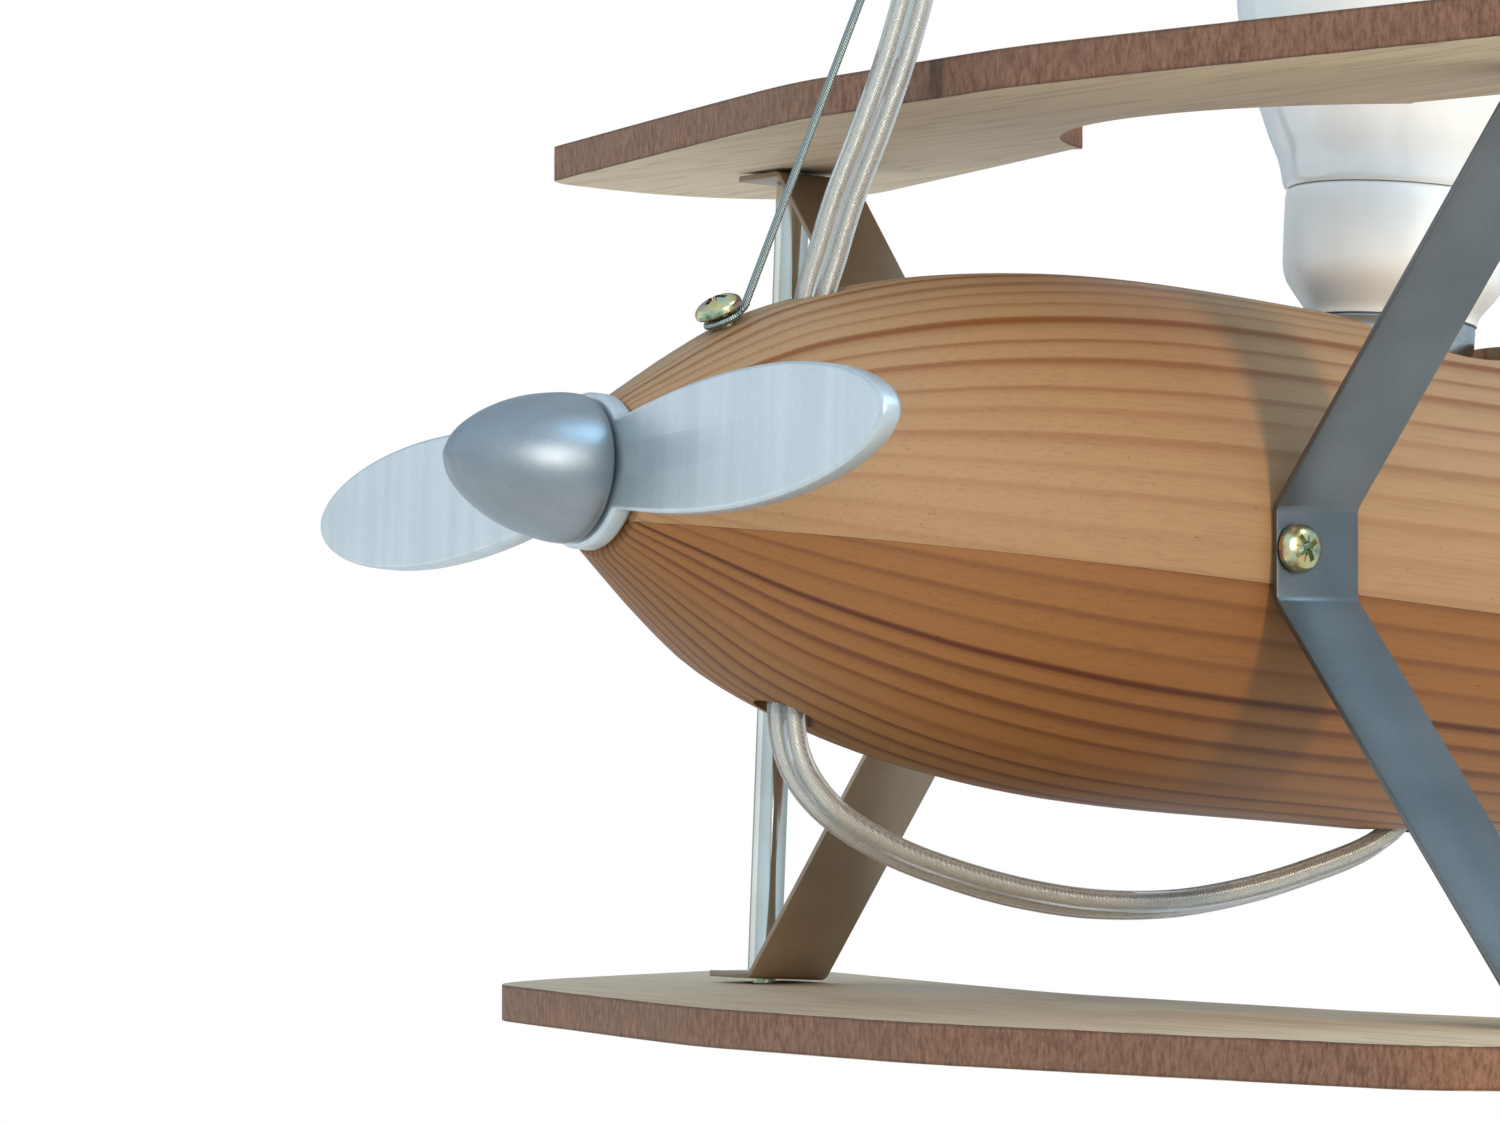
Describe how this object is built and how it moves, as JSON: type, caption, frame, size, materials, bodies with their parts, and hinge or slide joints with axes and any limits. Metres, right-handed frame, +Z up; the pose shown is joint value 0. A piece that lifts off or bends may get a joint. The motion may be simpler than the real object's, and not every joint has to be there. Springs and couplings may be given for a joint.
{
  "type": "biplane pendant lamp",
  "caption": "Pendant lamp shaped as a propeller biplane: turned pine fuselage, plywood wings in strip brackets, bulb in the cockpit, wire and lead suspension.",
  "frame": {"origin": "centre of the ceiling plate's top face", "axes": "+Z up through the ceiling, -Y towards the propeller, +X along the port wing"},
  "size_m": [0.302, 0.3585, 0.3928],
  "materials": {
    "pine_upper": "turned pine, clear satin lacquer, wide grain",
    "pine_lower": "turned pine, clear satin lacquer, close dark grain",
    "plywood": "laser-cut plywood, bare, brown edges",
    "silver_paint": "satin silver paint",
    "steel": "plain bright steel",
    "chrome": "polished plating",
    "yellow_zinc": "yellow-passivated zinc on steel",
    "coated_wire": "fine wire rope in clear sleeve",
    "clear_lead": "clear flat twin lead with tinned cores",
    "white_plastic": "gloss white",
    "opal_glass": "opal diffuser",
    "bulb_metal": "plated screw cap",
    "black_plastic": "phenolic shell",
    "ceramic": "glazed insert",
    "brass": "contact brass",
    "white_paint": "white powder coat"
  },
  "bodies": {
    "airframe": {"ceiling_plate": "steel", "hook_nut": "steel", "ceiling_hook": "steel", "terminal_block": "white_plastic", "hanging_ring": "steel", "front_wire": "coated_wire", "rear_wire": "coated_wire", "front_ferrule": "steel", "rear_ferrule": "steel", "front_hang_screw": "yellow_zinc", "rear_hang_screw": "yellow_zinc", "fuselage_upper": "pine_upper", "fuselage_lower": "pine_lower", "propeller_shaft": "steel", "side_screw_port": "yellow_zinc", "side_screw_starboard": "yellow_zinc", "tailplane": "plywood", "fin": "plywood", "holder_shell": "black_plastic", "holder_insert": "ceramic", "holder_thread": "brass", "holder_contact": "brass", "supply_lead": "clear_lead"},
    "propeller": {"propeller": "silver_paint", "spinner": "silver_paint"},
    "wing_cell": {"upper_wing": "plywood", "lower_wing": "plywood", "bracket_port": "steel", "bracket_starboard": "steel", "strut_tube_port": "chrome", "strut_tube_starboard": "chrome", "tie_rod_port": "yellow_zinc", "tie_rod_starboard": "yellow_zinc", "rod_nut_port": "yellow_zinc", "rod_nut_starboard": "yellow_zinc"},
    "bulb": {"bulb_cap": "bulb_metal", "bulb_housing": "white_plastic", "bulb_glass": "opal_glass"},
    "rose_cover": {"rose_cup": "white_paint", "cord_grip": "white_plastic", "cup_collar": "steel", "collar_screw": "yellow_zinc"}
  },
  "joints": [
    {"name": "propeller_spin", "type": "hinge", "parent": "airframe", "child": "propeller", "pos_m": [0, -0.11357, -0.30444], "axis": [0, -0.9962, 0.0872], "continuous": true},
    {"name": "wing_cell_tilt", "type": "hinge", "parent": "airframe", "child": "wing_cell", "pos_m": [0, -0.018, -0.315], "axis": [-1, 0, 0], "range_deg": [0, 12]},
    {"name": "bulb_out", "type": "slide", "parent": "airframe", "child": "bulb", "axis": [0, 0.0872, 0.9962], "range_m": [0, 0.024]},
    {"name": "rose_drop", "type": "slide", "parent": "airframe", "child": "rose_cover", "axis": [0, 0, -1], "range_m": [0, 0.015]}
  ]
}
